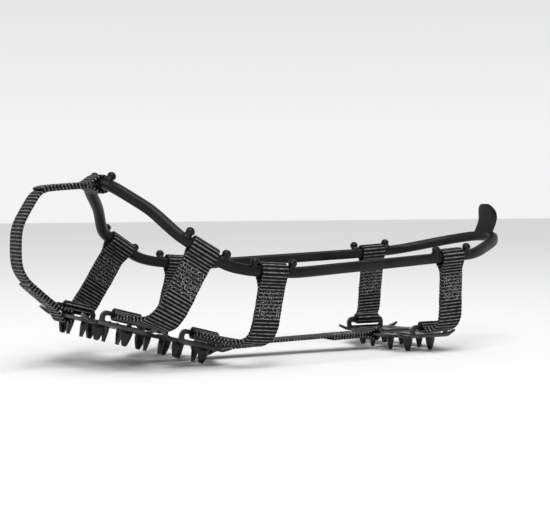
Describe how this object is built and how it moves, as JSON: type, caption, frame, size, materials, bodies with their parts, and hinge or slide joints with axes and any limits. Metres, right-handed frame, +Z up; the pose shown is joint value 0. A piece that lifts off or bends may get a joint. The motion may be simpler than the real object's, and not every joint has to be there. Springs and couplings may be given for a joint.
{
  "type": "microspikes",
  "caption": "Slip-on traction spikes for one boot: toothed steel plates hung on webbing straps from a moulded rubber band.",
  "frame": {"origin": "on the ground under the middle of the object's box", "axes": "+X towards the toe, +Y towards the left, +Z up, away from the ground"},
  "size_m": [0.3032, 0.1186, 0.1003],
  "materials": {
    "steel": "satin black coating on stamped sheet steel",
    "rubber": "moulded elastomer with a soft sheen",
    "webbing": "ribbed nylon webbing",
    "thread": "bonded polyester thread"
  },
  "bodies": {
    "forefoot": {"forefoot_plate": "steel", "band_front": "rubber", "band_side_left": "rubber", "band_side_right": "rubber"},
    "heel": {"heel_plate": "steel", "band_heel": "rubber"},
    "pull_tab": {"heel_pull_tab": "rubber"},
    "toe_strap": {"toe_strap": "webbing", "toe_strap_stitching": "thread"},
    "centre_strap": {"centre_strap": "webbing", "centre_strap_stitching": "thread"},
    "front_strap_left": {"front_strap_left": "webbing", "front_strap_left_stitching": "thread"},
    "front_strap_right": {"front_strap_right": "webbing", "front_strap_right_stitching": "thread"},
    "mid_strap_left": {"mid_strap_left": "webbing", "mid_strap_left_stitching": "thread"},
    "mid_strap_right": {"mid_strap_right": "webbing", "mid_strap_right_stitching": "thread"},
    "heel_strap_left": {"heel_strap_left": "webbing", "heel_strap_left_stitching": "thread"},
    "heel_strap_right": {"heel_strap_right": "webbing", "heel_strap_right_stitching": "thread"}
  },
  "joints": [
    {"name": "arch_flex", "type": "hinge", "parent": "forefoot", "child": "heel", "pos_m": [0.04481, 0, 0.00638], "axis": [0, 1, 0], "range_deg": [-10, 35], "deforming": ["band_side_left", "band_side_right"]},
    {"name": "toe_strap_swing", "type": "hinge", "parent": "forefoot", "child": "toe_strap", "pos_m": [0.10529, 0, 0.094], "axis": [1, 0, 0], "range_deg": [-1.6, 1.6]},
    {"name": "front_strap_left_shift", "type": "slide", "parent": "forefoot", "child": "front_strap_left", "axis": [0.9174, -0.0789, 0.3901], "range_m": [-0.0009, 0.0009]},
    {"name": "front_strap_right_shift", "type": "slide", "parent": "forefoot", "child": "front_strap_right", "axis": [0.9174, 0.0789, 0.3901], "range_m": [-0.0009, 0.0009]},
    {"name": "mid_strap_left_shift", "type": "slide", "parent": "forefoot", "child": "mid_strap_left", "axis": [0.9873, 0.0019, 0.1591], "range_m": [-0.0009, 0.0009]},
    {"name": "mid_strap_right_shift", "type": "slide", "parent": "forefoot", "child": "mid_strap_right", "axis": [0.9873, -0.0019, 0.1591], "range_m": [-0.0009, 0.0009]},
    {"name": "heel_strap_left_shift", "type": "slide", "parent": "heel", "child": "heel_strap_left", "axis": [0.9992, 0.0265, -0.0312], "range_m": [-0.0009, 0.0009]},
    {"name": "heel_strap_right_shift", "type": "slide", "parent": "heel", "child": "heel_strap_right", "axis": [0.9992, -0.0265, -0.0312], "range_m": [-0.0009, 0.0009]},
    {"name": "centre_strap_shift", "type": "slide", "parent": "heel", "child": "centre_strap", "axis": [0, 1, 0], "range_m": [-0.002, 0.002]},
    {"name": "pull_tab_bend", "type": "hinge", "parent": "heel", "child": "pull_tab", "pos_m": [-0.14671, 0, 0.064], "axis": [0, -1, 0], "range_deg": [-8, 60], "stiffness_Nm_per_rad": 0.05}
  ]
}
